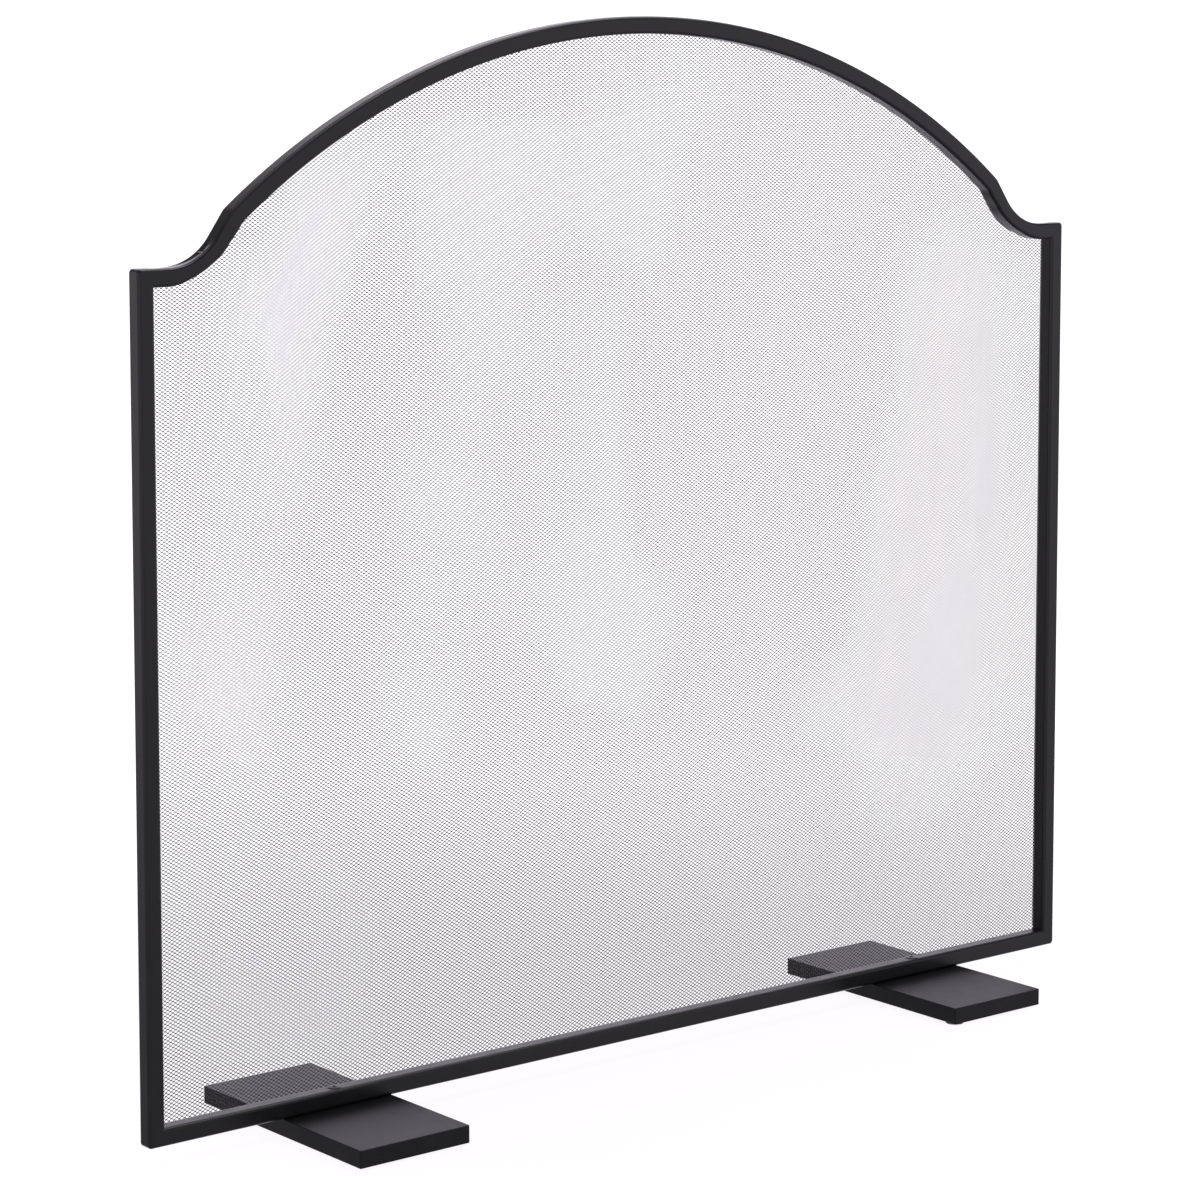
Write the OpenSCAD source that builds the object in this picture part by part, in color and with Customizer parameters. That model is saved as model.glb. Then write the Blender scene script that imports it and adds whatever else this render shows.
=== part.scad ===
// Arched fireplace screen: a welded square-tube frame with an expanded metal sheet held
// behind it, standing on two flat bar feet that swivel on one bolt each.
// X runs along the width, the front faces -Y, Z is up, and the origin is on the floor
// under the middle of the screen.

/* [Screen] */
// Overall width of the frame
screen_w = 990; // [940:5:1040]
// Height of the flat shoulders above the floor
shoulder_h = 692; // [670:1:705]
// Height of the crown of the arch above the floor
screen_h = 880; // [870:1:895]

/* [Frame tube] */
// Outside size of the square tube
tube = 14.5; // [12:0.5:16]
// Wall thickness of the tube
tube_wall = 1.2; // [1:0.1:2]
// Outside corner radius of the tube
tube_r = 2.5; // [2:0.1:3.5]
// Radius ground onto the four outer corners of the frame
corner_r = 3; // [1:0.5:5]

/* [Arch and scoops] */
// Outside radius of the arch
arch_r = 650; // [630:5:680]
// Radius of the hollow side of each scoop
scoop_r = 52; // [45:1:60]
// Angle that each scoop turns through before it runs straight into the arch
scoop_turn = 55; // [50:1:60]
// Length of the flat shoulder beside each scoop
shoulder_l = 28; // [24:1:34]

/* [Mesh and strips] */
// Overall thickness of the expanded metal sheet
mesh_t = 1; // [0.8:0.1:1.5]
// How far the sheet laps onto the back of the tube
mesh_lap = 10; // [8:0.5:11]
// Width of the strips that clamp the sheet
strip_w = 8; // [7:0.5:11]
// Thickness of the strips
strip_t = 1.5; // [1:0.1:3]
// Gap between neighbouring strips
strip_gap = 1; // [0.5:0.1:3]
// Shank diameter of the strip screws
screw_d = 3.5; // [3:0.1:4]
// Head diameter of the strip screws
screw_head_d = 6.5; // [5.5:0.1:8]
// Head height of the strip screws
screw_head_h = 1.8; // [1.2:0.1:2.5]
// Screws along the bottom strip
bottom_screws = 7; // [3:1:11]
// Screws along each side strip
side_screws = 5; // [3:1:8]
// Screws along the arch strip
arch_screws = 7; // [3:1:11]

/* [Feet] */
// Width of each foot, across the bar
foot_w = 105; // [90:1:120]
// Length of each foot, front to back
foot_l = 220; // [190:1:260]
// Thickness of each foot
foot_t = 14.5; // [12:0.5:18]
// Edge radius of each foot
foot_r = 1.2; // [0.8:0.1:2]
// Distance of each foot's bolt from the middle of the screen
foot_x = 318; // [260:1:360]
// Diameter of the pads under the feet
pad_d = 16; // [12:1:20]
// Thickness of the pads, which lift the feet off the floor
pad_t = 2; // [1.5:0.1:4]
// Distance of the pad centres from the edges of the foot
pad_inset = 17; // [12:1:24]

/* [Swivel bolts] */
// Shank diameter of the bolts
bolt_d = 6; // [5:0.5:8]
// Radial running clearance of the shank in the rail
bolt_play = 0.075; // [0.02:0.005:0.1]
// Head diameter of the bolts
bolt_head_d = 11.5; // [10:0.5:14]
// Height of the low, slightly domed bolt heads
bolt_head_h = 1; // [0.8:0.1:2.5]
// Size of the hexagon socket in the head, across its flats
socket_af = 3; // [2.5:0.5:4]
// Depth of the socket from the top of the head
socket_h = 2.2; // [1.5:0.1:3]

/* [Hidden] */

$fn = 64;
coat = [0.17, 0.17, 0.18];
coat_worn = [0.24, 0.24, 0.25];
zinc = [0.45, 0.45, 0.47];
rubber = [0.08, 0.08, 0.08];

half_w = screen_w / 2;
rail_z = pad_t + foot_t;            // underside of the bottom rail
rail_mid = rail_z + tube / 2;
tube_back = tube / 2;               // back face of the frame tubes
mesh_back = tube_back + mesh_t;
strip_back = mesh_back + strip_t;
reach = 60;                         // long enough to pass right through a tube
arch_z = screen_h - arch_r;         // height of the arch's centre
bend_x = half_w - shoulder_l;       // where the shoulder starts to bend up
bend_z = shoulder_h + scoop_r;      // height of the scoop's centre
tail = [-cos(scoop_turn), sin(scoop_turn)];
arch_step = 1.5;                    // degrees between points of the sheet's arc
scoop_step = 5;
joined = 0.5;                       // the scoop's straight stretches run this far into its bend
drawn_in = 0.04;                    // the tube is this much slimmer where it is bent
bolt_engage = foot_t - 2;           // thread length in the foot
bolt_rim = 0.4;                     // height of the head at its rim
edge = tube / 2;                    // screws sit on the middle of the tube
stray_pad = [-7, -6];               // one pad was stuck on nearer its corner

// Inner end of the right-hand scoop's bend, on the line that lies inset inside the outline
function bend_end(inset) = [
    bend_x - (scoop_r + inset) * sin(scoop_turn),
    bend_z - (scoop_r + inset) * cos(scoop_turn)
];

// Where the scoop's straight tail meets the arch, on the same inset line
function meeting(inset) =
    let (
        start = bend_end(inset),
        rel = start - [0, arch_z],
        along = rel * tail,
        behind = rel * rel - pow(arch_r - inset, 2)
    )
    start + tail * (sqrt(along * along - behind) - along);

// Right half of the frame's outline, inset by a distance, from the bottom up to the crown
function right_side(inset) =
    let (
        meet = meeting(inset),
        arc = asin(meet.x / (arch_r - inset)),
        arc_n = ceil(arc / arch_step),
        bend_n = ceil(scoop_turn / scoop_step)
    )
    concat(
        [[half_w - inset, rail_z + inset], [half_w - inset, shoulder_h - inset]],
        [for (i = [0:bend_n])
            let (a = scoop_turn * i / bend_n)
            [bend_x - (scoop_r + inset) * sin(a), bend_z - (scoop_r + inset) * cos(a)]],
        [for (i = [0:arc_n])
            let (a = arc * (1 - i / arc_n))
            [(arch_r - inset) * sin(a), arch_z + (arch_r - inset) * cos(a)]]
    );

function flipped(points) =
    [for (i = [len(points) - 2:-1:0]) [-points[i].x, points[i].y]];

// Places of the strip screws on the back of the frame
function row(n, low, high) = [for (i = [0:n - 1]) low + (high - low) * i / (n - 1)];
bottom_places = [for (x = row(bottom_screws, -0.88 * half_w, 0.88 * half_w))
    [x, rail_mid]];
right_places = [for (z = row(side_screws, rail_z + 60, shoulder_h - 60))
    [half_w - edge, z]];
arch_places = [for (a = row(arch_screws, -32, 32))
    [(arch_r - edge) * sin(a), arch_z + (arch_r - edge) * cos(a)]];
scoop_places = [
    [bend_x + 6, shoulder_h - edge],
    bend_end(edge) + 8 * tail
];

module rounded_square(side, r) {
    square([side, side - 2 * r], center = true);
    square([side - 2 * r, side], center = true);
    for (x = [-1, 1], y = [-1, 1])
        translate([x, y] * (side / 2 - r))
            circle(r = r);
}

module tube_section() {
    difference() {
        rounded_square(tube, tube_r);
        rounded_square(tube - 2 * tube_wall, tube_r - tube_wall);
    }
}

// A flat shape drawn in X and Z, given thickness along Y from y_front to y_back
module upright_plate(y_front, y_back) {
    translate([0, y_back, 0])
        rotate([90, 0, 0])
            linear_extrude(y_back - y_front)
                children();
}

module through_frame() {
    upright_plate(-reach / 2, reach / 2)
        children();
}

// The outer corner of the frame at the right, top or bottom: the metal ground away
module corner_waste(z, up) {
    through_frame()
        translate([half_w, z])
            mirror([0, up > 0 ? 0 : 1])
                translate([-corner_r, -corner_r])
                    difference() {
                        square(2 * corner_r);
                        circle(r = corner_r);
                    }
}

module both_sides() {
    children();
    mirror([1, 0, 0])
        children();
}

// One side of the right-hand joint of arch and scoop, moved along by a distance
module arch_joint_waste(scoop_side, moved) {
    inner = meeting(tube);
    outer = meeting(0);
    run = (outer - inner) / norm(outer - inner);
    across = (scoop_side ? 1 : -1) * [run.y, -run.x];
    through_frame()
        translate(moved * across)
            polygon([
                inner - 2 * reach * run,
                outer + 2 * reach * run,
                outer + 2 * reach * (run + across),
                inner + 2 * reach * (across - run)
            ]);
}

module past_arch_joint() {
    arch_joint_waste(true, 0);
}

module before_arch_joint() {
    arch_joint_waste(false, 0);
}

// Clearance for the screws along one member, through the back wall of its tube
module screw_holes(places) {
    for (p = places)
        translate([p.x, strip_back, p.y])
            rotate([90, 0, 0])
                cylinder(d = screw_d, h = strip_back - tube_back + tube_wall + 1);
}

// One side of the 45 degree mitre at the right-hand corner of height z: the triangle
// above or below the line that runs from the corner into the frame
module mitre_waste(z, up, below) {
    through_frame()
        translate([half_w, z])
            mirror([0, up > 0 ? 0 : 1])
                polygon([
                    [2, 2],
                    [-tube - 2, -tube - 2],
                    below ? [2, -tube - 2] : [-tube - 2, 2]
                ]);
}

module bottom_rail() {
    color(coat)
        difference() {
            translate([-half_w, 0, rail_mid])
                rotate([0, 90, 0])
                    linear_extrude(screen_w)
                        tube_section();
            both_sides() {
                mitre_waste(rail_z, -1, true);
                corner_waste(rail_z, -1);
                translate([foot_x, 0, rail_z - 1])
                    cylinder(d = bolt_d + 2 * bolt_play, h = tube + 2);
            }
            screw_holes(bottom_places);
        }
}

module upright() {
    color(coat)
        difference() {
            translate([half_w - tube / 2, 0, rail_z])
                linear_extrude(shoulder_h - rail_z)
                    tube_section();
            mitre_waste(rail_z, -1, false);
            mitre_waste(shoulder_h, 1, false);
            corner_waste(rail_z, -1);
            corner_waste(shoulder_h, 1);
            screw_holes(right_places);
        }
}

module arch_rail() {
    half_arc = asin(meeting(0).x / arch_r) + 2;
    color(coat)
        difference() {
            translate([0, 0, arch_z])
                rotate([90, 0, 0])
                    rotate([0, 0, 90 - half_arc])
                        rotate_extrude(angle = 2 * half_arc, $fn = 360)
                            translate([arch_r - tube / 2, 0])
                                tube_section();
            both_sides()
                past_arch_joint();
            screw_holes(arch_places);
        }
}

// The scoop's path filled with a square bar: flat shoulder, bend and straight tail
module scoop_bar(side, r) {
    bend_mid = bend_end(tube / 2);
    translate([bend_x - joined, 0, shoulder_h - tube / 2])
        rotate([0, 90, 0])
            linear_extrude(shoulder_l + joined)
                rounded_square(side, r);
    translate([bend_x, 0, bend_z])
        rotate([90, 0, 0])
            rotate([0, 0, -90 - scoop_turn])
                rotate_extrude(angle = scoop_turn, $fn = 180)
                    translate([scoop_r + tube / 2, 0])
                        rounded_square(side - drawn_in, r);
    translate([bend_mid.x - joined * tail.x, 0, bend_mid.y - joined * tail.y])
        rotate([0, scoop_turn - 90, 0])
            linear_extrude(reach)
                rounded_square(side, r);
}

module scoop_rail() {
    color(coat)
        difference() {
            scoop_bar(tube, tube_r);
            scoop_bar(tube - 2 * tube_wall, tube_r - tube_wall);
            before_arch_joint();
            mitre_waste(shoulder_h, 1, true);
            corner_waste(shoulder_h, 1);
            screw_holes(scoop_places);
        }
}

module every_screw_hole() {
    screw_holes(concat(bottom_places, arch_places));
    both_sides()
        screw_holes(concat(right_places, scoop_places));
}

module sheet_outline(inset) {
    polygon(concat(right_side(inset), flipped(right_side(inset))));
}

module mesh_panel() {
    color(coat_worn)
        difference() {
            upright_plate(tube_back, mesh_back)
                sheet_outline(tube - mesh_lap);
            every_screw_hole();
        }
}

// The band that the strips lie in, all round the back of the frame
module strip_band() {
    lip = (tube - strip_w) / 2;
    upright_plate(mesh_back, strip_back)
        difference() {
            sheet_outline(lip);
            sheet_outline(lip + strip_w);
        }
}

module bottom_strip() {
    color(coat)
        difference() {
            intersection() {
                strip_band();
                translate([-half_w, mesh_back - 1, rail_z])
                    cube([screen_w, strip_t + 2, tube]);
            }
            screw_holes(bottom_places);
        }
}

module side_strip() {
    low = rail_z + tube + strip_gap;
    color(coat)
        difference() {
            intersection() {
                strip_band();
                translate([half_w - tube, mesh_back - 1, low])
                    cube([tube, strip_t + 2, shoulder_h - tube - strip_gap - low]);
            }
            screw_holes(right_places);
        }
}

module arch_strip() {
    color(coat)
        difference() {
            intersection() {
                strip_band();
                translate([-half_w, mesh_back - 1, shoulder_h])
                    cube([screen_w, strip_t + 2, screen_h]);
            }
            both_sides()
                past_arch_joint();
            screw_holes(arch_places);
        }
}

// Stops a little short of the arch strip
module scoop_strip() {
    color(coat)
        difference() {
            intersection() {
                strip_band();
                translate([half_w - 2 * reach, mesh_back - 1, shoulder_h - tube])
                    cube([2 * reach, strip_t + 2, 2 * reach]);
            }
            arch_joint_waste(false, -strip_gap);
            screw_holes(scoop_places);
        }
}

module screw() {
    rotate([-90, 0, 0]) {
        intersection() {
            cylinder(d = screw_head_d, h = screw_head_h);
            translate([0, 0, screw_head_h - screw_head_d])
                sphere(r = screw_head_d);
        }
        translate([0, 0, -(strip_back - tube_back + tube_wall + 1)])
            cylinder(d = screw_d, h = strip_back - tube_back + tube_wall + 1.5);
    }
}

module screws_at(places) {
    for (p = places)
        translate([p.x, strip_back, p.y])
            screw();
}

module strip_screws() {
    color(zinc) {
        screws_at(concat(bottom_places, arch_places));
        both_sides()
            screws_at(concat(right_places, scoop_places));
    }
}

// A box with every edge rounded, centred in X and Y and standing on Z = 0
module soft_box(size, r) {
    inner = size - [2, 2, 2] * r;
    translate([0, 0, size.z / 2]) {
        cube([size.x, inner.y, inner.z], center = true);
        cube([inner.x, size.y, inner.z], center = true);
        cube([inner.x, inner.y, size.z], center = true);
        for (a = [-0.5, 0.5], b = [-0.5, 0.5]) {
            translate([a * inner.x, b * inner.y, 0])
                cylinder(r = r, h = inner.z, center = true);
            translate([a * inner.x, 0, b * inner.z])
                rotate([90, 0, 0])
                    cylinder(r = r, h = inner.y, center = true);
            translate([0, a * inner.y, b * inner.z])
                rotate([0, 90, 0])
                    cylinder(r = r, h = inner.x, center = true);
            for (c = [-0.5, 0.5])
                translate([a * inner.x, b * inner.y, c * inner.z])
                    sphere(r = r);
        }
    }
}

module foot() {
    color(coat)
        difference() {
            translate([0, 0, pad_t])
                soft_box([foot_w, foot_l, foot_t], foot_r);
            translate([0, 0, pad_t - 1])
                cylinder(d = bolt_d, h = foot_t + 2);
        }
}

module foot_bolt() {
    seat = rail_z + tube;
    dome_h = bolt_head_h - bolt_rim;
    dome_r = (pow(bolt_head_d / 2, 2) + pow(dome_h, 2)) / (2 * dome_h);
    color(coat_worn)
        translate([0, 0, seat])
            difference() {
                union() {
                    intersection() {
                        cylinder(d = bolt_head_d, h = bolt_head_h);
                        translate([0, 0, bolt_head_h - dome_r])
                            sphere(r = dome_r);
                    }
                    translate([0, 0, -(tube + bolt_engage)])
                        cylinder(d = bolt_d, h = tube + bolt_engage + 0.5);
                }
                translate([0, 0, bolt_head_h - socket_h])
                    cylinder(d = socket_af / cos(30), h = socket_h + 1, $fn = 6);
            }
}

// Four round pads, the front left one moved by shift
module foot_pads(shift) {
    color(rubber)
        for (x = [-1, 1], y = [-1, 1])
            translate([x * (foot_w / 2 - pad_inset), y * (foot_l / 2 - pad_inset), 0])
                translate(x < 0 && y < 0 ? shift : [0, 0])
                    cylinder(d = pad_d, h = pad_t);
}

module on_left() {
    translate([-foot_x, 0, 0])
        children();
}

module on_right() {
    translate([foot_x, 0, 0])
        children();
}

module mirrored() {
    mirror([1, 0, 0])
        children();
}

bottom_rail();
mirrored() upright();  // left_upright
upright();  // right_upright
arch_rail();
mirrored() scoop_rail();  // left_scoop_rail
scoop_rail();  // right_scoop_rail
mesh_panel();
bottom_strip();
mirrored() side_strip();  // left_strip
side_strip();  // right_strip
arch_strip();
mirrored() scoop_strip();  // left_scoop_strip
scoop_strip();  // right_scoop_strip
strip_screws();
on_left() foot();  // left_foot
on_right() foot();  // right_foot
on_left() foot_bolt();  // left_foot_bolt
on_right() foot_bolt();  // right_foot_bolt
on_left() foot_pads([0, 0]);  // left_foot_pads
on_right() foot_pads(stray_pad);  // right_foot_pads
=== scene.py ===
"""Looks of the arched fireplace screen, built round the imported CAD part.

Metres. X runs along the width, the front faces -Y, Z is up. The CAD frame stays as it is;
the pieces made here stand for the nodes that need finer shape than the CAD gives them.
"""

import math

import bmesh
import bpy
import numpy as np
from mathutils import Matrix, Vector


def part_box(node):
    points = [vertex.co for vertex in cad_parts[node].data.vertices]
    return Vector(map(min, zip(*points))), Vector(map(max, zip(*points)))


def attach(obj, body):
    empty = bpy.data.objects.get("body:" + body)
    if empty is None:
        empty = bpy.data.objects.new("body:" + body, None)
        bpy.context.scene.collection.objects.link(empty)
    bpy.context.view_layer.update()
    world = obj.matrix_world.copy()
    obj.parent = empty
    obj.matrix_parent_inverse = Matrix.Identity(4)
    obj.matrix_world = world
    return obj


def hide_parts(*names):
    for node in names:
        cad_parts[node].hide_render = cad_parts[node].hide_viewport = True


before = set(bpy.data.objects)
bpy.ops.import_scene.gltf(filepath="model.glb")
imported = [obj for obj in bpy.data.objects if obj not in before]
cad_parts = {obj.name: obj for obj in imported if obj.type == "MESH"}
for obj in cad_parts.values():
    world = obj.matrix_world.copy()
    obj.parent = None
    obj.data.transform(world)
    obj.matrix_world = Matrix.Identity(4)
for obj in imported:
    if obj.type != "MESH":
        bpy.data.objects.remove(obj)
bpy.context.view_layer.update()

# ---------------------------------------------------------------- sizes, as in the CAD
MM = 0.001
SHOULDER_H = 692 * MM
CROWN_H = 880 * MM
ARCH_R = 650 * MM
SCOOP_R = 52 * MM
SCOOP_TURN = math.radians(55)
SHOULDER_L = 28 * MM
CORNER_R = 3 * MM
TUBE_R = 2.5 * MM

rail_low, rail_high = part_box("bottom_rail")
HALF_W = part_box("right_upright")[1].x
RAIL_Z = rail_low.z
TUBE = rail_high.z - rail_low.z
HALF_TUBE = TUBE / 2
ARCH_Z = CROWN_H - ARCH_R
BEND_X = HALF_W - SHOULDER_L
BEND_Z = SHOULDER_H + SCOOP_R
TAIL = np.array([-math.cos(SCOOP_TURN), math.sin(SCOOP_TURN)])

FRAME_BODY, LEFT_BODY, RIGHT_BODY = "screen_frame", "left_foot_group", "right_foot_group"

# the white behind the object is overexposed, as in a catalogue picture
BACKDROP = 1.3
BACKDROP_TINT = (1.0, 0.982, 1.008, 1.0)
STUDIO_TINT = (1.0, 0.945, 1.045, 1.0)
WALL_BEHIND = 1.52  # what the tops of the tubes reflect


# ---------------------------------------------------------------- materials
def rgb(r, g, b):
    return (r, g, b, 1.0)


class Nodes:
    """A node tree with short calls for the nodes used here."""

    def __init__(self, tree, place):
        self.tree = tree
        self.place = self.add("ShaderNodeTexCoord").outputs[place]

    def add(self, kind, **settings):
        node = self.tree.nodes.new(kind)
        for key, value in settings.items():
            setattr(node, key, value)
        return node

    def link(self, out, socket):
        self.tree.links.new(out, socket)

    def feed(self, socket, value):
        if isinstance(value, bpy.types.NodeSocket):
            self.link(value, socket)
        else:
            socket.default_value = value

    def noise(self, per_metre, detail=3.0, rough=0.5):
        node = self.add("ShaderNodeTexNoise")
        self.link(self.place, node.inputs["Vector"])
        node.inputs["Scale"].default_value = per_metre
        node.inputs["Detail"].default_value = detail
        node.inputs["Roughness"].default_value = rough
        return node.outputs["Fac"]

    def spread(self, value, low, high, to_low=0.0, to_high=1.0, curve="LINEAR"):
        node = self.add("ShaderNodeMapRange", clamp=True, interpolation_type=curve)
        self.link(value, node.inputs["Value"])
        for name, number in zip(
            ("From Min", "From Max", "To Min", "To Max"), (low, high, to_low, to_high)
        ):
            node.inputs[name].default_value = number
        return node.outputs["Result"]

    def vary(self, noise, to_low=0.0, to_high=1.0):
        """Runs from to_low to to_high over the middle of a noise, where most of it lies."""
        return self.spread(noise, 0.3, 0.7, to_low, to_high)

    def math(self, operation, a, b):
        node = self.add("ShaderNodeMath", operation=operation)
        self.feed(node.inputs[0], a)
        self.feed(node.inputs[1], b)
        return node.outputs[0]

    def mix(self, share, a, b):
        node = self.add("ShaderNodeMix", data_type="RGBA")
        self.feed(node.inputs[0], share)
        self.feed(node.inputs[6], a)
        self.feed(node.inputs[7], b)
        return node.outputs[2]

    def tones(self, share, colour, darker, lighter):
        """A colour between darker and lighter times itself."""
        return self.mix(share, rgb(*(c * darker for c in colour)), rgb(*(c * lighter for c in colour)))

    def bump(self, height, distance, strength, under=None):
        node = self.add("ShaderNodeBump")
        self.link(height, node.inputs["Height"])
        node.inputs["Distance"].default_value = distance
        node.inputs["Strength"].default_value = strength
        if under is not None:
            self.link(under, node.inputs["Normal"])
        return node.outputs["Normal"]


class Finish(Nodes):
    """A new material with a Principled shader."""

    def __init__(self, name):
        self.material = bpy.data.materials.new(name)
        self.material.use_nodes = True
        super().__init__(self.material.node_tree, "Object")
        self.shader = self.tree.nodes["Principled BSDF"]


def powder_coat(name, colour, worn, roughness, specular=0.5, peel=0.010 * MM, wear=0.5, burnish=None):
    """Semi-matt black powder coat: orange peel, a fine grain, slow changes of sheen, faint
    rubbed edges and a little dust on what faces up. burnish is the roughness of the hollow
    face of the scoops, which the bending die has smoothed."""
    n = Finish(name)
    slow = n.noise(9, 4, 0.6)
    patches = n.noise(55, 5, 0.65)
    peel_noise = n.noise(750, 2, 0.5)
    grain = n.noise(3600, 2, 0.6)
    specks = n.noise(1400, 1, 0.4)
    geometry = n.add("ShaderNodeNewGeometry")

    # Pointiness is 0.5 on a flat, and more on an edge that hands rub
    ridge = n.spread(geometry.outputs["Pointiness"], 0.505, 0.56)
    rubbed = n.math("MULTIPLY", ridge, n.spread(patches, 0.45, 0.7, 0.0, wear))
    tone = n.mix(rubbed, n.tones(n.vary(slow), colour, 0.88, 1.14), rgb(*worn))
    upward = n.add("ShaderNodeSeparateXYZ")
    n.link(geometry.outputs["Normal"], upward.inputs[0])
    level = n.spread(upward.outputs["Z"], 0.6, 1.0)
    dust = n.math("MULTIPLY", level, n.spread(specks, 0.62, 0.78, 0.0, 0.05))
    n.link(n.mix(dust, tone, rgb(0.30, 0.30, 0.31)), n.shader.inputs["Base Color"])

    sheen = n.vary(patches, roughness - 0.035, roughness + 0.045)
    sheen = n.math("SUBTRACT", sheen, n.math("MULTIPLY", rubbed, 0.12))
    if burnish is not None:
        sheen = smoothed_by_die(n, sheen, burnish)
    n.link(sheen, n.shader.inputs["Roughness"])
    n.shader.inputs["Specular IOR Level"].default_value = specular
    rough_skin = n.bump(grain, 0.003 * MM, 0.6)
    n.link(n.bump(peel_noise, peel, 0.7, rough_skin), n.shader.inputs["Normal"])
    return n.material


def smoothed_by_die(n, sheen, burnish):
    """Roughness burnish on the hollow face of both scoops, and sheen from 3 mm behind it."""
    where = n.add("ShaderNodeSeparateXYZ")
    n.link(n.place, where.inputs[0])
    across = n.math("SUBTRACT", n.math("ABSOLUTE", where.outputs["X"], 0.0), BEND_X)
    rise = n.math("SUBTRACT", where.outputs["Z"], BEND_Z)
    squared = n.math("ADD", n.math("MULTIPLY", across, across), n.math("MULTIPLY", rise, rise))
    behind = n.spread(n.math("SQRT", squared, 0.0), SCOOP_R + 1.2 * MM, SCOOP_R + 3 * MM)
    return n.math("ADD", n.math("MULTIPLY", behind, n.math("SUBTRACT", sheen, burnish)), burnish)


def sheet_coat(name, colour, roughness):
    """The same coat on strands far thinner than its orange peel: only tone and sheen vary."""
    n = Finish(name)
    slow = n.noise(30, 3, 0.5)
    fine = n.noise(1800, 3, 0.6)
    tone = n.tones(n.vary(slow), colour, 0.9, 1.1)
    tone = n.mix(n.spread(fine, 0.45, 0.75, 0.0, 0.35), tone, rgb(*(c * 1.8 for c in colour)))
    n.link(tone, n.shader.inputs["Base Color"])
    n.link(n.vary(fine, roughness - 0.04, roughness + 0.06), n.shader.inputs["Roughness"])
    return n.material


def dark_steel(name, colour, roughness, metallic):
    """Blackened fasteners: turning marks and blotches from handling."""
    n = Finish(name)
    marks = n.noise(900, 3, 0.6)
    blotches = n.noise(240, 4, 0.6)
    n.link(n.tones(n.vary(blotches), colour, 0.75, 1.3), n.shader.inputs["Base Color"])
    n.link(n.vary(marks, roughness - 0.06, roughness + 0.08), n.shader.inputs["Roughness"])
    n.shader.inputs["Metallic"].default_value = metallic
    n.link(n.bump(marks, 0.01 * MM, 0.5), n.shader.inputs["Normal"])
    return n.material


def rubber(name):
    """Matt black rubber with a pebbled skin."""
    n = Finish(name)
    grain = n.noise(2500, 3, 0.6)
    tone = n.mix(n.vary(n.noise(300)), rgb(0.012, 0.012, 0.012), rgb(0.028, 0.028, 0.028))
    n.link(tone, n.shader.inputs["Base Color"])
    n.link(n.vary(grain, 0.7, 0.9), n.shader.inputs["Roughness"])
    n.link(n.bump(grain, 0.04 * MM, 0.6), n.shader.inputs["Normal"])
    return n.material


def pale_floor(name):
    """Matt pale paper, mostly hidden by a glow: near the object the glow paints out its shadows and is
    dimmer, a painted shade round it; away from it the floor turns into plain white light.
    """
    n = Finish(name)
    tone = n.mix(n.vary(n.noise(3)), rgb(0.86, 0.86, 0.865), rgb(0.90, 0.90, 0.90))
    n.link(tone, n.shader.inputs["Base Color"])
    n.link(n.vary(n.noise(40), 0.75, 0.85), n.shader.inputs["Roughness"])
    n.shader.inputs["Specular IOR Level"].default_value = 0.2
    glow = n.add("ShaderNodeEmission")
    glow.inputs["Color"].default_value = BACKDROP_TINT
    away = n.add("ShaderNodeVectorMath", operation="LENGTH")
    n.link(n.place, away.inputs[0])
    # the glow is weaker near the object, a painted shade round it, and it paints out the shadows there
    share = n.spread(away.outputs["Value"], 0.25, 1.3, curve="SMOOTHSTEP")
    n.link(n.spread(share, 0.0, 1.0, 1.06, BACKDROP), glow.inputs["Strength"])
    blend = n.add("ShaderNodeMixShader")
    n.link(n.spread(share, 0.0, 1.0, 0.88, 1.0), blend.inputs[0])
    n.link(n.shader.outputs[0], blend.inputs[1])
    n.link(glow.outputs[0], blend.inputs[2])
    n.link(blend.outputs[0], n.tree.nodes["Material Output"].inputs["Surface"])
    return n.material


BLACK, RUBBED = (0.0048, 0.0047, 0.0054), (0.020, 0.020, 0.021)
COAT = powder_coat("frame_coat", BLACK, RUBBED, 0.30)
BENT_COAT = powder_coat("bent_tube_coat", BLACK, RUBBED, 0.30, peel=0.006 * MM, burnish=0.11)
FOOT_COAT = powder_coat("foot_coat", (0.0030, 0.0028, 0.0034), (0.014, 0.014, 0.015), 0.40, specular=0.30)
STRIP_COAT = powder_coat("strip_coat", (0.0055, 0.0055, 0.0060), (0.022, 0.022, 0.022), 0.36)
MESH_COAT = sheet_coat("mesh_coat", (0.0072, 0.0060, 0.0074), 0.40)
BOLT_STEEL = powder_coat("bolt_black", (0.0050, 0.0048, 0.0054), (0.022, 0.022, 0.023), 0.32, wear=0.2)
SCREW_STEEL = dark_steel("screw_black", (0.06, 0.06, 0.062), 0.36, 0.7)
PAD_RUBBER = rubber("pad_rubber")


# ---------------------------------------------------------------- mesh helpers
def add_object(name, data):
    made = bpy.data.objects.new(name, data)
    bpy.context.scene.collection.objects.link(made)
    return made


def finish_piece(name, mesh, material, body, nodes, smooth=True):
    """Makes the object, shades it, gives it its material, ties it to its body and hides the nodes it
    stands for.
    """
    piece = add_object(name, mesh)
    mesh.materials.append(material)
    if smooth:
        mesh.shade_smooth()
        mesh.set_sharp_from_angle(angle=math.radians(35))
        evened = piece.modifiers.new("even_shading", "WEIGHTED_NORMAL")
        evened.keep_sharp = True
        evened.weight = 80
    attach(piece, body)
    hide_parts(*nodes)


def to_mesh(name, bm):
    """Turns every face outwards and hands the mesh over."""
    bmesh.ops.recalc_face_normals(bm, faces=bm.faces)
    mesh = bpy.data.meshes.new(name)
    bm.to_mesh(mesh)
    bm.free()
    return mesh


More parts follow.
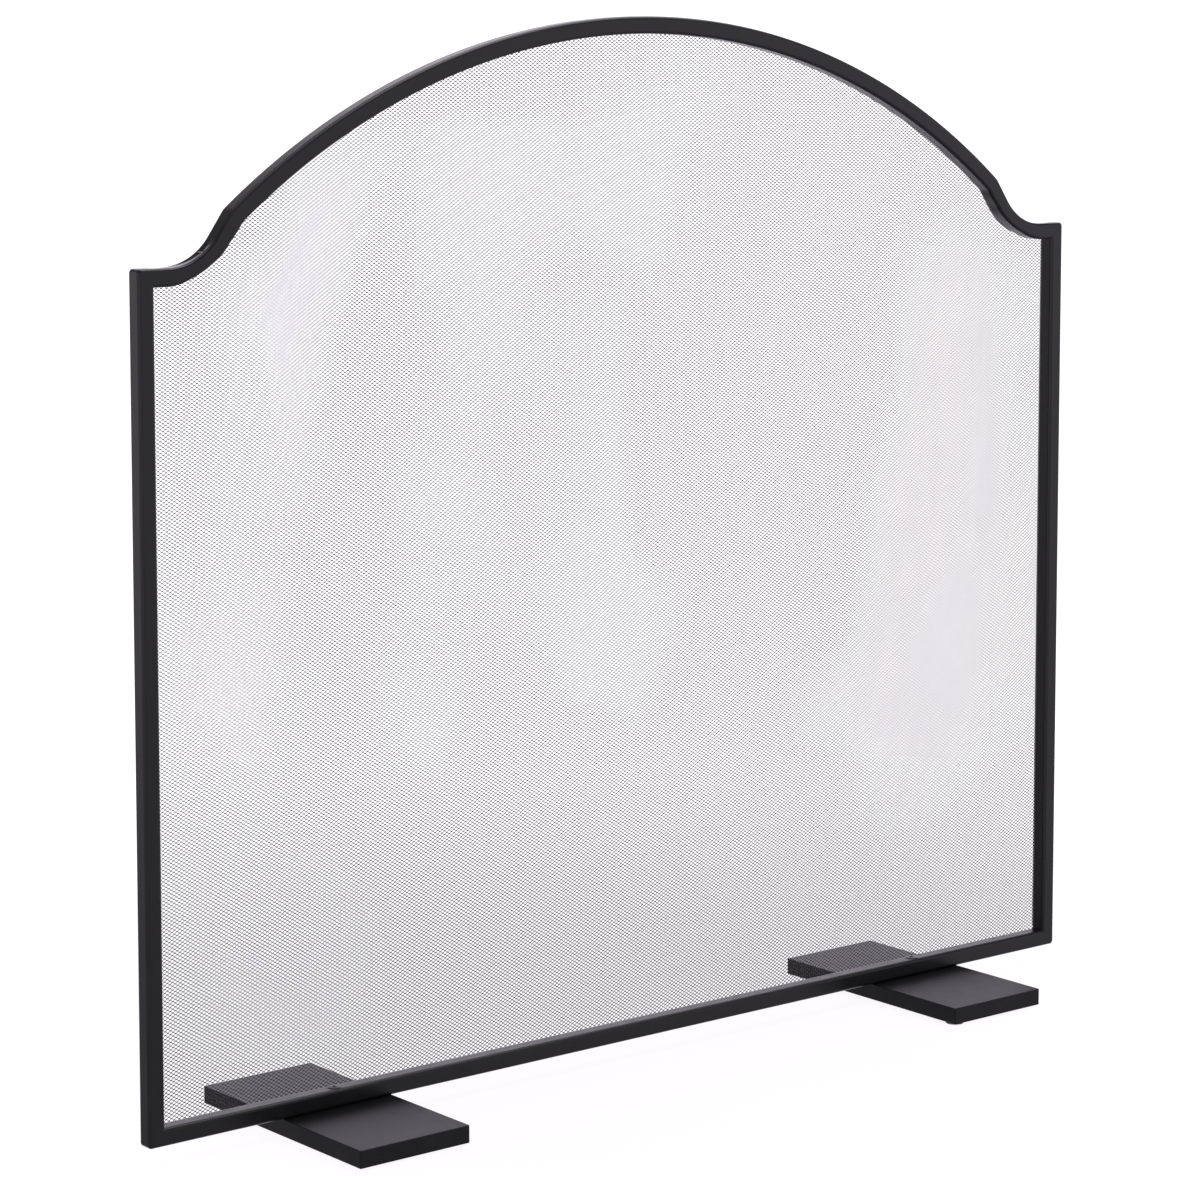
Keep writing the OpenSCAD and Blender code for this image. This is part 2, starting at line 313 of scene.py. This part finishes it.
def add_skin(bm, rings):
    """A closed skin over rings of as many points each. A first ring of one point is a tip."""
    rows = [[bm.verts.new(p) for p in points] for points in rings]
    count = len(rows[-1])
    if len(rows[0]) == 1:
        for i in range(count):
            bm.faces.new((rows[0][0], rows[1][i], rows[1][(i + 1) % count]))
        rows = rows[1:]
    else:
        bm.faces.new(list(reversed(rows[0])))
    for low, high in zip(rows, rows[1:]):
        for i in range(count):
            j = (i + 1) % count
            bm.faces.new((low[i], low[j], high[j], high[i]))
    bm.faces.new(rows[-1])


def ring(centre, axis, radius, spokes, top=None):
    """Points round an axis, Y or Z, each lifted along it by top(u, v)."""
    axis, side = Vector(axis), Vector((1, 0, 0))
    other = axis.cross(side)
    points = []
    for k in range(spokes):
        turn = 2 * math.pi * k / spokes
        u, v = radius * math.cos(turn), radius * math.sin(turn)
        points.append(Vector(centre) + side * u + other * v + axis * (top(u, v) if top else 0.0))
    return points


def ease(x):
    """0 below 0, 1 above 1, and smooth between."""
    x = min(1.0, max(0.0, x))
    return x * x * (3 - 2 * x)


# ---------------------------------------------------------------- frame tubes
ARC_STEPS = 6  # in a rounded edge of the tube
FACE_STEPS = 8  # across the face that the bend dishes
CORNER_STEPS = 6  # in half of a rounded outer corner of the frame
STRAIGHT_STEPS, UPRIGHT_STEPS = 40, 30  # along the bottom rail and the uprights
SUPPORT = 0.35 * MM  # from a rounded edge to the line of points that keeps the face flat


def section():
    """Points round the square tube: (distance from the mesh side, y, share of the dish).
    Angle 0 points outwards from the mesh side, and 90 to the back."""
    points = []
    flat = HALF_TUBE - TUBE_R
    for along, across, start in [(1, -1, 270), (1, 1, 0), (-1, 1, 90), (-1, -1, 180)]:
        for a in np.radians(np.linspace(start, start + 90, ARC_STEPS + 1)):
            out = HALF_TUBE + along * flat + TUBE_R * math.cos(a)
            points.append((out, across * flat + TUBE_R * math.sin(a), 0.0))
        if (along, across) == (1, -1):
            sweep = [flat * (-1 + 2 * k / FACE_STEPS) for k in range(1, FACE_STEPS)]
            sweep = [-flat + SUPPORT, *sweep, flat - SUPPORT]
            points += [(TUBE, y, 1 - (y / flat) ** 2) for y in sweep]
        elif (along, across) == (1, 1):
            points += [(TUBE - TUBE_R - SUPPORT, HALF_TUBE, 0.0), (TUBE_R + SUPPORT, HALF_TUBE, 0.0)]
        elif (along, across) == (-1, 1):
            points += [(0.0, flat - SUPPORT, 0.0), (0.0, -flat + SUPPORT, 0.0)]
        else:
            points += [(TUBE_R + SUPPORT, -HALF_TUBE, 0.0), (TUBE - TUBE_R - SUPPORT, -HALF_TUBE, 0.0)]
    return points


SECTION = section()


def loft(name, stations):
    """stations: (point on the mesh side, point on the outer side, depth of the dish) in X and Z."""
    rings = []
    for inner, outer, dish in stations:
        inner, outer = np.array(inner, float), np.array(outer, float)
        run = (outer - inner) / TUBE
        unit = (outer - inner) / np.linalg.norm(outer - inner)
        rings.append([])
        for along, y, sunk in SECTION:
            x, z = inner + run * along - unit * dish * sunk
            rings[-1].append((x, y, z))
    bm = bmesh.new()
    add_skin(bm, rings)
    bmesh.ops.remove_doubles(bm, verts=bm.verts, dist=0.001 * MM)
    return to_mesh(name, bm)


def outer_corner(x, z, turn_from, up):
    """Half of the rounded outer corner at (x, z), from one flat to the 45 degree line."""
    centre = np.array([x - CORNER_R, z - up * CORNER_R])
    return [
        centre + CORNER_R * np.array([math.cos(a), up * math.sin(a)])
        for a in np.radians(np.linspace(turn_from, 45, CORNER_STEPS + 1))
    ]


def on_bend(turn, inset):
    """A point of the scoop's bend, inset from its hollow side; the bend starts at turn 0."""
    ray = np.array([-math.sin(turn), -math.cos(turn)])
    return np.array([BEND_X, BEND_Z]) + ray * (SCOOP_R + inset)


def meeting(inset):
    """Where the scoop's straight tail meets the arch, on the line inset inside the outline."""
    start = on_bend(SCOOP_TURN, inset)
    rel = start - np.array([0, ARCH_Z])
    along = rel @ TAIL
    behind = rel @ rel - (ARCH_R - inset) ** 2
    return start + TAIL * (math.sqrt(along * along - behind) - along)


def corner_fan(inner, x, z, up, horizontal):
    """Stations from square across the tube to its mitre, round the outer corner at (x, z)."""
    if horizontal:
        straight = [(inner[0] + s * (x - CORNER_R - inner[0]), z) for s in np.linspace(0, 1, 5)]
        arc = outer_corner(x, z, 90, up)
    else:
        straight = [(x, inner[1] + s * (z - up * CORNER_R - inner[1])) for s in np.linspace(0, 1, 5)]
        arc = outer_corner(x, z, 0, up)
    return [(inner, point, 0.0) for point in straight + arc[1:]]


def flip(stations):
    """The same stations mirrored to the other side."""
    return [((-i[0], i[1]), (-o[0], o[1]), d) for i, o, d in stations]


LOW_INNER = (HALF_W - TUBE, RAIL_Z + TUBE)
HIGH_INNER = (HALF_W - TUBE, SHOULDER_H - TUBE)


def bottom_stations():
    fan = corner_fan(LOW_INNER, HALF_W, RAIL_Z, -1, True)
    along = np.linspace(-LOW_INNER[0], LOW_INNER[0], STRAIGHT_STEPS + 1)[1:-1]
    return flip(fan)[::-1] + [((x, RAIL_Z + TUBE), (x, RAIL_Z), 0.0) for x in along] + fan


def upright_stations():
    low = corner_fan(LOW_INNER, HALF_W, RAIL_Z, -1, False)
    high = corner_fan(HIGH_INNER, HALF_W, SHOULDER_H, 1, False)
    along = np.linspace(LOW_INNER[1], HIGH_INNER[1], UPRIGHT_STEPS + 1)[1:-1]
    return low[::-1] + [((HALF_W - TUBE, z), (HALF_W, z), 0.0) for z in along] + high


# how the bending die left the scoops: places are shares of the bend's turn
DISH = 0.85 * MM  # depth of the hollow face
DISH_AT_START = 0.35
DISH_IN_TAIL = 0.12
CREASE = 0.6 * MM
CREASE_AT = 0.66
CREASE_WIDE = 0.022
TROUGH_AFTER, TROUGH_WIDE = 0.06, 0.03
DRAWN = 2.3 * MM  # the other side was pulled in as it stretched
DRAWN_BY, EASES_FROM = 0.45, 0.62  # where it is fully drawn, and where it starts to come back
DRAWN_IN_TAIL = 0.45  # the share that is left at the start of the tail
TRUE_BY = 0.7  # share of the tail after which it is straight again
BEND_STEPS, TAIL_STEPS = 110, 24
KINK = 2 * MM  # reach of the round that a weld leaves where tail and arch meet
KINK_DROP = 0.07
TAIL_UP = np.array([math.sin(SCOOP_TURN), math.cos(SCOOP_TURN)])  # square to the tail


def softened(points_in, points_out):
    """Eases the last stations before the arch's joint into a small round."""
    joint_in, joint_out = meeting(TUBE), meeting(0)
    across = (joint_out - joint_in) / np.linalg.norm(joint_out - joint_in)

    def dropped(point, joint):
        left = max(0.0, KINK - np.linalg.norm(point - joint))
        return point - across * KINK_DROP * left**2 / KINK

    return [(dropped(p, joint_in), dropped(q, joint_out)) for p, q in zip(points_in, points_out)]


def sunk_at(share):
    """Depth of the dish at a share of the bend: it swells towards the middle, and a crease
    with a trough behind it crosses it."""
    swell = math.sin(math.pi * min(1.0, share * 1.02)) ** 0.8
    sunk = DISH * (DISH_AT_START + (1 - DISH_AT_START) * swell) * (1 - 0.5 * share**6)
    sunk -= CREASE * math.exp(-(((share - CREASE_AT) / CREASE_WIDE) ** 2))
    return sunk + 0.5 * CREASE * math.exp(-(((share - CREASE_AT - TROUGH_AFTER) / TROUGH_WIDE) ** 2))


def scoop_stations():
    """Mitred shoulder, hollow bend, straight tail."""
    stations = corner_fan(HIGH_INNER, HALF_W, SHOULDER_H, 1, True)[::-1]
    for share in np.linspace(0, 1, 7)[1:-1]:
        x = HIGH_INNER[0] + share * (BEND_X - HIGH_INNER[0])
        stations.append(((x, HIGH_INNER[1]), (x, SHOULDER_H), DISH_AT_START * DISH * share**2))
    for share in np.linspace(0, 1, BEND_STEPS + 1):
        turn = SCOOP_TURN * share
        back = (1 - DRAWN_IN_TAIL) * ease((share - EASES_FROM) / (1 - EASES_FROM))
        drawn = DRAWN * ease(share / DRAWN_BY) * (1 - back)
        stations.append((on_bend(turn, TUBE - drawn), on_bend(turn, 0), sunk_at(share)))
    shares = np.linspace(0, 1, TAIL_STEPS + 1)[1:]
    tail_in, tail_out = (
        [on_bend(SCOOP_TURN, inset) + s * (meeting(inset) - on_bend(SCOOP_TURN, inset)) for s in shares]
        for inset in (TUBE, 0)
    )
    drawn = DRAWN_IN_TAIL * DRAWN
    tail_in = [p + TAIL_UP * drawn * (1 - ease(s / TRUE_BY)) for p, s in zip(tail_in, shares)]
    for s, (p, q) in zip(shares, softened(tail_in, tail_out)):
        stations.append((p, q, DISH_IN_TAIL * DISH * (1 - s) ** 2))
    return stations


def arch_stations():
    """From joint to joint, closer together where the arch is welded to the tails."""
    shares = np.concatenate([np.linspace(0, 0.97, 90), np.linspace(0.97, 1, 14)[1:]])
    sides = []
    for inset in (TUBE, 0):
        radius = ARCH_R - inset
        turns = math.asin(meeting(inset)[0] / radius) * shares
        sides.append([np.array([math.sin(a), math.cos(a)]) * radius + [0, ARCH_Z] for a in turns])
    half = [(p, q, 0.0) for p, q in softened(*sides)]
    return flip(half)[:0:-1] + half


FRAME_PIECES = {
    "bottom_rail": bottom_stations(),
    "right_upright": upright_stations(),
    "left_upright": flip(upright_stations()),
    "right_scoop_rail": scoop_stations(),
    "left_scoop_rail": flip(scoop_stations()),
    "arch_rail": arch_stations(),
}
for node, stations in FRAME_PIECES.items():
    coat = BENT_COAT if "scoop" in node else COAT
    finish_piece("coated_" + node, loft(node + "_skin", stations), coat, FRAME_BODY, [node])


# ---------------------------------------------------------------- expanded metal sheet
LONG_WAY = 4.75 * MM
SHORT_WAY = 3.02 * MM
BOND_L = 1.3 * MM
STRAND_W = 0.43 * MM
STRAND_T = 0.42 * MM
LEAN = math.radians(33.3)
SHORTEST = 10 * MM  # half of the shortest strand worth making, under the crown
BAND_ROWS = 27  # strands in each piece, which keeps a piece's mesh to a size that exports whole
TIP_LANE = 0.001  # width of a strand's closed end in its map


def sheet_edges():
    """The CAD sheet's outline as segments in X and Z."""
    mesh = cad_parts["mesh_panel"].data
    points = np.array([v.co for v in mesh.vertices])
    edges = np.array([e.vertices[:] for e in mesh.edges])
    return points[edges[:, 0]][:, [0, 2]], points[edges[:, 1]][:, [0, 2]]


def half_width(z, starts, ends):
    """How far the sheet reaches from the middle at height z."""
    crossing = (starts[:, 1] - z) * (ends[:, 1] - z) < 0
    a, b = starts[crossing], ends[crossing]
    if not len(a):
        return 0.0
    x = a[:, 0] + (b[:, 0] - a[:, 0]) * (z - a[:, 1]) / (b[:, 1] - a[:, 1])
    return float(np.abs(x).max())


def strand(z, half, odd, middle_y):
    """One zigzag strand across the sheet as rings of four points, one at each end of every
    bond. It leans back, so the openings look up at the front."""
    wide = np.array([math.sin(LEAN), math.cos(LEAN)])
    thick = np.array([-math.cos(LEAN), math.sin(LEAN)])
    stroke = np.array([0.0, SHORT_WAY / 2]) - STRAND_W * wide
    step = LONG_WAY / 2
    bonds = np.arange(math.ceil(-half / step) - 1, math.floor(half / step) + 2)
    x = (bonds[:, None] * step + np.array([-0.5, 0.5]) * BOND_L).ravel()
    height = np.where((bonds + odd) % 2 == 0, 0.5, -0.5).repeat(2)
    inside = np.abs(x) < half - 0.02 * MM
    end_height = np.interp([-half, half], x, height)
    x = np.concatenate([[-half], x[inside], [half]])
    height = np.concatenate([end_height[:1], height[inside], end_height[1:]])
    corners = np.array([[-0.5, -0.5], [0.5, -0.5], [0.5, 0.5], [-0.5, 0.5]])
    outline = corners[:, :1] * STRAND_W * wide + corners[:, 1:] * STRAND_T * thick
    yz = np.array([middle_y, z]) + height[:, None, None] * stroke + outline
    return np.concatenate([np.broadcast_to(x[:, None, None], yz.shape[:2] + (1,)), yz], 2)


def band_mesh(name, strands):
    """One band of strands as a single mesh of quads, with both ends of each strand closed.
    Its map gives each side of each strand a lane of its own."""
    points, quads, lanes, base = [], [], [], 0
    side = np.array([0, 1, 2, 3])
    following = np.array([1, 2, 3, 0])
    widest = max(rings[-1, 0, 0] for rings in strands)
    for row, rings in enumerate(strands):
        count = len(rings)
        start = base + 4 * np.arange(count - 1)[:, None]
        faces = np.stack([start + side, start + following, start + 4 + following, start + 4 + side], 2)
        quads.append(faces.reshape(-1, 4))
        u = rings[:, 0, 0] / widest / 2 + 0.5
        u = np.stack([u[:-1], u[:-1], u[1:], u[1:]], 1)[:, None, :].repeat(4, 1)
        v = (row + (side[:, None] + np.array([0.1, 0.9, 0.9, 0.1])) / 4) / len(strands)
        lanes.append(np.stack([u, np.broadcast_to(v, u.shape)], 3).reshape(-1, 2))
        end = base + 4 * (count - 1)
        quads.append(np.array([[base + 3, base + 2, base + 1, base], [end, end + 1, end + 2, end + 3]]))
        tip = np.array([[0.0, 0.1], [TIP_LANE, 0.1], [TIP_LANE, 0.9], [0.0, 0.9]])
        for shift in (0.0, 1 - TIP_LANE):
            lanes.append(np.stack([tip[:, 0] + shift, (row + tip[:, 1] / 4) / len(strands)], 1))
        points.append(rings.reshape(-1, 3))
        base += 4 * count
    points, quads, lanes = np.concatenate(points), np.concatenate(quads), np.concatenate(lanes)
    mesh = bpy.data.meshes.new(name)
    mesh.vertices.add(len(points))
    mesh.vertices.foreach_set("co", points.astype(np.float32).ravel())
    mesh.loops.add(quads.size)
    mesh.loops.foreach_set("vertex_index", quads.astype(np.int32).ravel())
    mesh.polygons.add(len(quads))
    mesh.polygons.foreach_set("loop_start", np.arange(0, quads.size, 4, dtype=np.int32))
    mesh.update(calc_edges=True)
    mesh.uv_layers.new(name="OFBake").data.foreach_set("uv", lanes.astype(np.float32).ravel())
    return mesh


def expanded_sheet():
    """The sheet in bands of strands, each strand half a diamond above the last."""
    low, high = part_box("mesh_panel")
    middle_y = (low.y + high.y) / 2
    starts, ends = sheet_edges()
    rows = int((high.z - low.z) / (SHORT_WAY / 2)) - 1
    strands = []
    for k in range(rows):
        z = low.z + (k + 1) * SHORT_WAY / 2
        half = half_width(z, starts, ends)
        if half > SHORTEST:
            strands.append(strand(z, half, k % 2, middle_y))
    for i in range(0, len(strands), BAND_ROWS):
        name = f"mesh_band_{i // BAND_ROWS + 1:02d}"
        mesh = band_mesh(name, strands[i : i + BAND_ROWS])
        finish_piece(name, mesh, MESH_COAT, FRAME_BODY, ["mesh_panel"], smooth=False)


expanded_sheet()


# ---------------------------------------------------------------- screws, bolts, pads and feet
SHANK_SPOKES = 24
SCREW_HEAD_R, SCREW_HEAD_H, SCREW_SHANK_R = 3.25 * MM, 1.8 * MM, 1.75 * MM
PAN_DOME, PAN_ROLL, PAN_ROLL_FROM = 0.30, 0.45, 0.82  # shares of the head's height and radius
CROSS_HALF_W, CROSS_SIDE = 0.52 * MM, 0.15 * MM  # an arm of the recess, and its sloping side
CROSS_HALF_L, CROSS_END = 1.65 * MM, 0.40 * MM
CROSS_DEEP = 0.95 * MM
BOLT_HEAD_H, BOLT_RIM_H, BOLT_SHANK_R = 1.0 * MM, 0.4 * MM, 3 * MM
BOLT_ROLL, BOLT_ROLL_FROM = 0.25 * MM, 0.88  # the rim rolls over from this share of the radius
SOCKET_R, SOCKET_SIDE, SOCKET_DEEP = 1.5 * MM, 0.12 * MM, 2.1 * MM
PAD_R = 8 * MM
FOOT_CORNER, FOOT_EDGE = 1.3 * MM, 0.8 * MM
RUNNING_GAP = 0.05 * MM  # under the rail, so a foot turns without rubbing


def add_head(bm, seat, axis, radius, shares, spokes, top):
    """A round head on its seat, in rings at shares of its radius. top is its height at (u, v)."""
    rings = [ring(seat, axis, 0.0, 1, top)]
    rings += [ring(seat, axis, share * radius, spokes, top) for share in shares]
    add_skin(bm, rings + [ring(seat, axis, radius, spokes)])


def add_shank(bm, start, axis, radius, length):
    end = Vector(start) + Vector(axis) * length
    add_skin(bm, [ring(place, axis, radius, SHANK_SPOKES) for place in (start, end)])


def clusters(node, gap, axes):
    """Centres, along two axes, of the separate solids of a CAD node."""
    groups = []
    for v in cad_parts[node].data.vertices:
        p = np.array(v.co)[axes]
        near = next((g for g in groups if np.abs(g[0] - p).max() < gap), None)
        if near is None:
            groups.append([p])
        else:
            near.append(p)
    return sorted(tuple((np.min(g, 0) + np.max(g, 0)) / 2) for g in groups)


def cross_head(turn):
    """Height of a pan head whose cross recess is turned by an angle."""

    def top(u, v):
        share = math.hypot(u, v) / SCREW_HEAD_R
        roll = PAN_ROLL * max(0.0, share - PAN_ROLL_FROM) / (1 - PAN_ROLL_FROM)
        a = abs(u * math.cos(turn) + v * math.sin(turn))
        b = abs(v * math.cos(turn) - u * math.sin(turn))
        arms = [
            min(ease((CROSS_HALF_W - p) / CROSS_SIDE), ease((CROSS_HALF_L - q) / CROSS_END))
            for p, q in ((a, b), (b, a))
        ]
        return SCREW_HEAD_H * (1 - PAN_DOME * share**2 - roll) - CROSS_DEEP * max(arms)

    return top


def screws():
    """Pan-head screws along the strips behind the screen, each stopped at its own angle."""
    name, back = "cross_head_screws", (0, 1, 0)
    low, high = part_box("strip_screws")
    seat = high.y - SCREW_HEAD_H
    bm = bmesh.new()
    for i, (x, z) in enumerate(clusters("strip_screws", 5 * MM, [0, 2])):
        top = cross_head(1.9 * i - 0.085)
        add_head(bm, (x, seat, z), back, SCREW_HEAD_R, np.linspace(0.05, 1.0, 22), 48, top)
        add_shank(bm, (x, low.y, z), back, SCREW_SHANK_R, seat - low.y)
    finish_piece(name, to_mesh(name, bm), SCREW_STEEL, FRAME_BODY, ["strip_screws"])


def foot_bolt(side, body):
    """Very low head, slightly domed, with a hexagon socket."""
    node, up = side + "_foot_bolt", (0, 0, 1)
    low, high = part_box(node)
    x, y = (low.x + high.x) / 2, (low.y + high.y) / 2
    head_r, rise = (high.x - low.x) / 2, BOLT_HEAD_H - BOLT_RIM_H
    dome_r = (head_r**2 + rise**2) / (2 * rise)
    seat = high.z - BOLT_HEAD_H

    def top(u, v):
        r = math.hypot(u, v)
        domed = BOLT_HEAD_H - dome_r + math.sqrt(dome_r**2 - r**2)
        domed -= BOLT_ROLL * ease((r / head_r - BOLT_ROLL_FROM) / (1 - BOLT_ROLL_FROM))
        flat = max(abs(u * math.cos(a) + v * math.sin(a)) for a in (0, math.pi / 3, 2 * math.pi / 3))
        return domed - SOCKET_DEEP * ease((SOCKET_R - flat) / SOCKET_SIDE)

    bm = bmesh.new()
    add_head(bm, (x, y, seat), up, head_r, np.linspace(0.04, 1.0, 34), 72, top)
    add_shank(bm, (x, y, low.z), up, BOLT_SHANK_R, seat - low.z - 1 * MM)
    finish_piece(side + "_socket_bolt", to_mesh(node, bm), BOLT_STEEL, body, [node])


def foot_pads(side, body):
    """Stick-on pads with a rounded lower edge, squeezed a little under the load."""
    node = side + "_foot_pads"
    low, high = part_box(node)
    profile = [(0.90, 0.0), (0.96, 0.08), (0.99, 0.25), (1.0, 0.5), (0.99, 0.8), (0.975, 1.0)]
    bm = bmesh.new()
    for x, y in clusters(node, 20 * MM, [0, 1]):
        heights = [(r, low.z + h * (high.z - low.z)) for r, h in profile]
        add_skin(bm, [ring((x, y, z), (0, 0, 1), r * PAD_R, 48) for r, z in heights])
    finish_piece(side + "_rubber_pads", to_mesh(node, bm), PAD_RUBBER, body, [node])


def foot_plate(side, body):
    """A sawn flat bar: crisp eased edges and corners a little rounder than the long edges."""
    node = side + "_foot"
    low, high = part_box(node)
    high.z -= RUNNING_GAP
    bm = bmesh.new()
    bmesh.ops.create_cube(bm, size=1.0)
    for v in bm.verts:
        v.co = [b if c > 0 else a for a, b, c in zip(low, high, v.co)]

    def round_off(edges, radius, segments):
        bmesh.ops.bevel(bm, geom=edges, offset=radius, segments=segments, affect="EDGES", profile=0.5)

    def rise(edge):
        return abs(edge.verts[0].co.z - edge.verts[1].co.z)

    round_off([e for e in bm.edges if rise(e) > 5 * MM], FOOT_CORNER, 5)
    round_off([e for e in bm.edges if rise(e) < 0.001 * MM], FOOT_EDGE, 4)
    finish_piece(side + "_foot_plate", to_mesh(node, bm), FOOT_COAT, body, [node])


screws()
for side, body in (("left", LEFT_BODY), ("right", RIGHT_BODY)):
    foot_plate(side, body)
    foot_bolt(side, body)
    foot_pads(side, body)

# ---------------------------------------------------------------- CAD nodes that stay
for place in ("bottom", "left", "right", "arch", "left_scoop", "right_scoop"):
    for material_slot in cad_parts[place + "_strip"].material_slots:
        material_slot.material = STRIP_COAT


# ---------------------------------------------------------------- floor, light and camera
FLOOR_REACH = 30.0
LAMP_AT, LAMP_AIM = (1.3, -0.3, 3.3), (0.2, 0.0, 0.2)
LAMP_SIZE, LAMP_WATTS = (4.0, 2.4), 60
CAMERA_AT = (-1.9292, -2.3247, 0.8806)
CAMERA_DOWN, CAMERA_TURN = 5.984, -39.019  # degrees
LENS, SENSOR, LENS_SHIFT = 108.92, 36.0, -0.17


def pale_stage():
    mesh = bpy.data.meshes.new("floor")
    corners = [(x * FLOOR_REACH, y * FLOOR_REACH, 0) for x, y in ((-1, -1), (1, -1), (1, 1), (-1, 1))]
    mesh.from_pydata(corners, [], [(0, 1, 2, 3)])
    mesh.materials.append(pale_floor("floor_pale"))
    floor = add_object("floor", mesh)
    floor.visible_glossy = False  # the tubes reflect the studio, not the paper they stand on


def studio():
    """White behind the object. What lights it is a studio: a bright wall behind and to the
    right, a dimmer one at the left and front that falls off towards the floor."""
    world = bpy.data.worlds.new("studio")
    bpy.context.scene.world = world
    world.use_nodes = True
    n = Nodes(world.node_tree, "Generated")
    direction = n.add("ShaderNodeSeparateXYZ")
    n.link(n.place, direction.inputs[0])
    x, y, z = direction.outputs

    def eased(value, low, high, a=0.0, b=1.0):
        return n.spread(value, low, high, a, b, "SMOOTHSTEP")

    def added(a, b):
        return n.math("ADD", a, b)

    def times(a, b):
        return n.math("MULTIPLY", a, b)

    # direction: x right, y back, z up
    # the room all round, brighter to the right and left, dim above and white overhead
    left = times(eased(x, -0.7, -0.1, 0.31, 0.0), eased(z, -0.32, -0.06, -0.35, 1.0))
    walls = added(eased(z, -0.35, -0.02, 0.26, 0.60), eased(x, 0.5, 0.8, 0.0, 0.25))
    walls = times(added(walls, left), eased(z, 0.05, 0.45, 1.0, 0.35))
    walls = added(walls, eased(z, 0.75, 0.95, 0.0, 0.8))
    # the bright wall behind, whose left edge leans with height
    slant = n.math("SUBTRACT", x, n.spread(z, 0.25, 0.75, 0.0, 0.3))
    slant = added(slant, n.spread(z, -0.65, -0.05, 0.25, 0.0))
    back = times(eased(slant, -0.08, 0.22), eased(y, 0.1, 0.5))
    back = times(back, eased(z, 0.60, 0.80, 1.0, 0.0))
    level = added(walls, times(back, n.math("SUBTRACT", WALL_BEHIND, walls)))

    lit = world.node_tree.nodes["Background"]
    n.link(level, lit.inputs["Strength"])
    lit.inputs["Color"].default_value = STUDIO_TINT
    seen = n.add("ShaderNodeBackground")
    seen.inputs["Color"].default_value = BACKDROP_TINT
    seen.inputs["Strength"].default_value = BACKDROP
    blend = n.add("ShaderNodeMixShader")
    n.link(n.add("ShaderNodeLightPath").outputs["Is Camera Ray"], blend.inputs[0])
    n.link(lit.outputs[0], blend.inputs[1])
    n.link(seen.outputs[0], blend.inputs[2])
    n.link(blend.outputs[0], world.node_tree.nodes["World Output"].inputs["Surface"])


def overhead():
    """One wide softbox above the screen."""
    light = bpy.data.lights.new("overhead", "AREA")
    light.shape = "RECTANGLE"
    light.size, light.size_y = LAMP_SIZE
    light.energy = LAMP_WATTS
    lamp = add_object("overhead", light)
    lamp.location = LAMP_AT
    lamp.rotation_euler = (Vector(LAMP_AIM) - Vector(LAMP_AT)).to_track_quat("-Z", "Y").to_euler()


def camera():
    """A long lens from the front left, level with the crown."""
    data = bpy.data.cameras.new("camera")
    data.lens, data.sensor_width, data.shift_y = LENS, SENSOR, LENS_SHIFT
    data.clip_start, data.clip_end = 0.05, 100.0
    made = add_object("camera", data)
    made.location = CAMERA_AT
    made.rotation_euler = (math.radians(90 - CAMERA_DOWN), 0.0, math.radians(CAMERA_TURN))
    bpy.context.scene.camera = made


pale_stage()
studio()
overhead()
camera()

view = bpy.context.scene.view_settings
view.view_transform, view.look = "Standard", "None"
view.exposure, view.gamma = 0.0, 1.0
